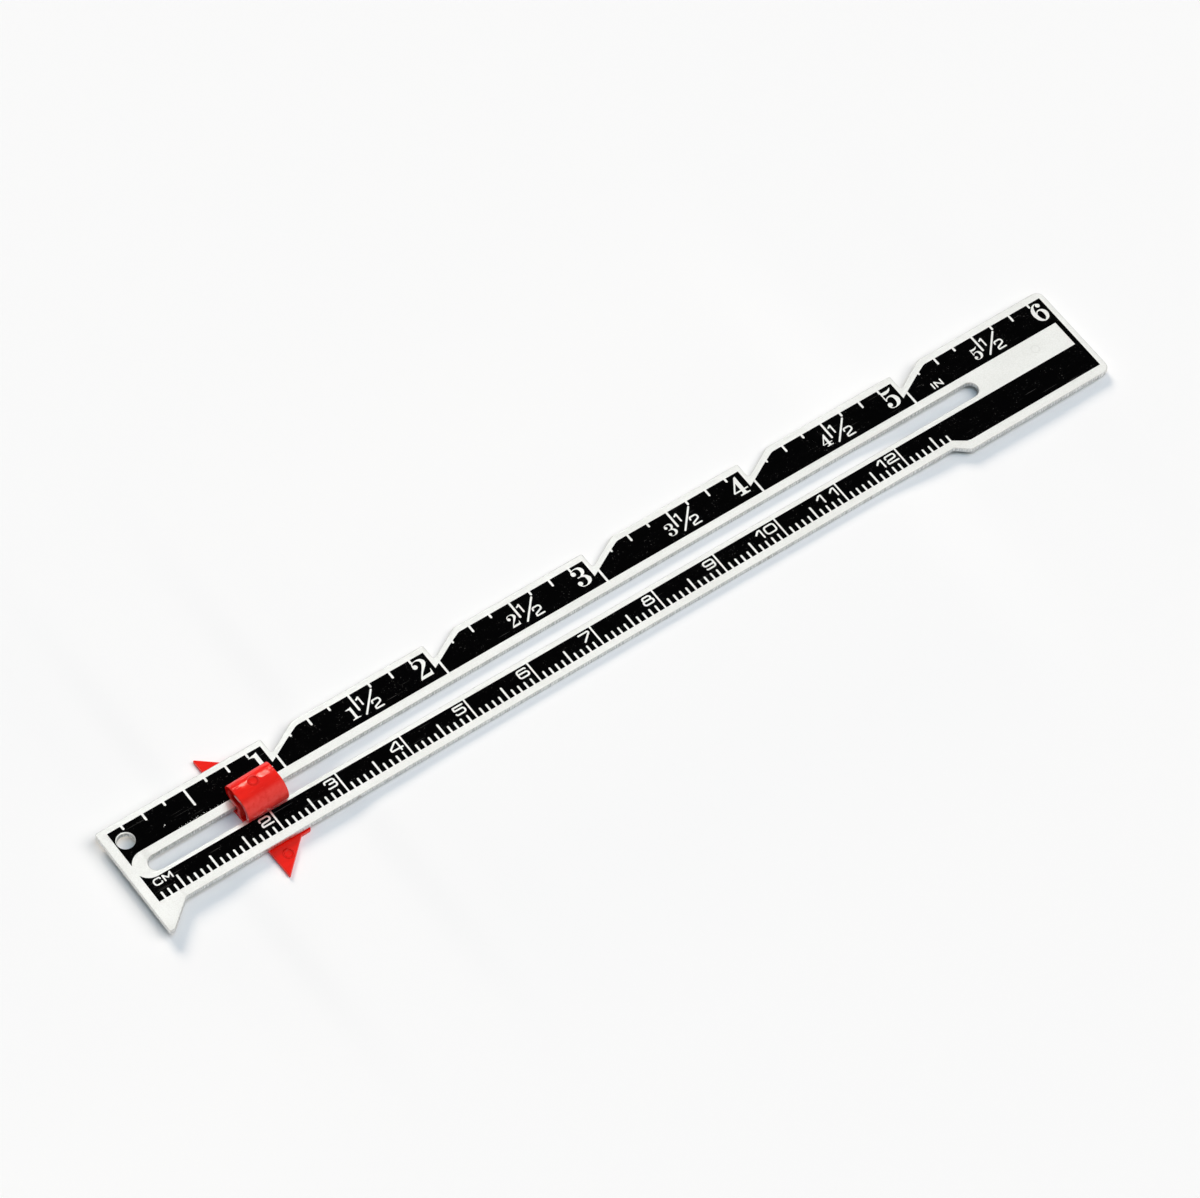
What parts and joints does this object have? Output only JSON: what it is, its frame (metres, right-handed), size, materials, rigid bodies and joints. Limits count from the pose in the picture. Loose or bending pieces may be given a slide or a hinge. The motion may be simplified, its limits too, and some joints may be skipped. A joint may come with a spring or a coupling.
{
  "type": "sewing gauge with sliding marker",
  "caption": "Flat slotted metal rule with a stepped inch edge, a flared point and a hanging hole, and a plastic marker with two pointers that slides along the slot.",
  "frame": {"origin": "middle of the zero end's face, on the slot's centre line and half way through the sheet", "axes": "+X along the rule away from zero, +Y across it towards the stepped inch edge, +Z out of the printed face"},
  "size_m": [0.1524, 0.0213, 0.0046],
  "materials": {
    "rule": "satin, printed black scales on the top face",
    "slider": "glossy moulded red"
  },
  "bodies": {
    "rule": {"rule": "rule"},
    "slider": {"slider": "slider"}
  },
  "joints": [
    {"name": "slider_travel", "type": "slide", "parent": "rule", "child": "slider", "axis": [1, 0, 0], "range_m": [-0.013, 0.1114]}
  ]
}
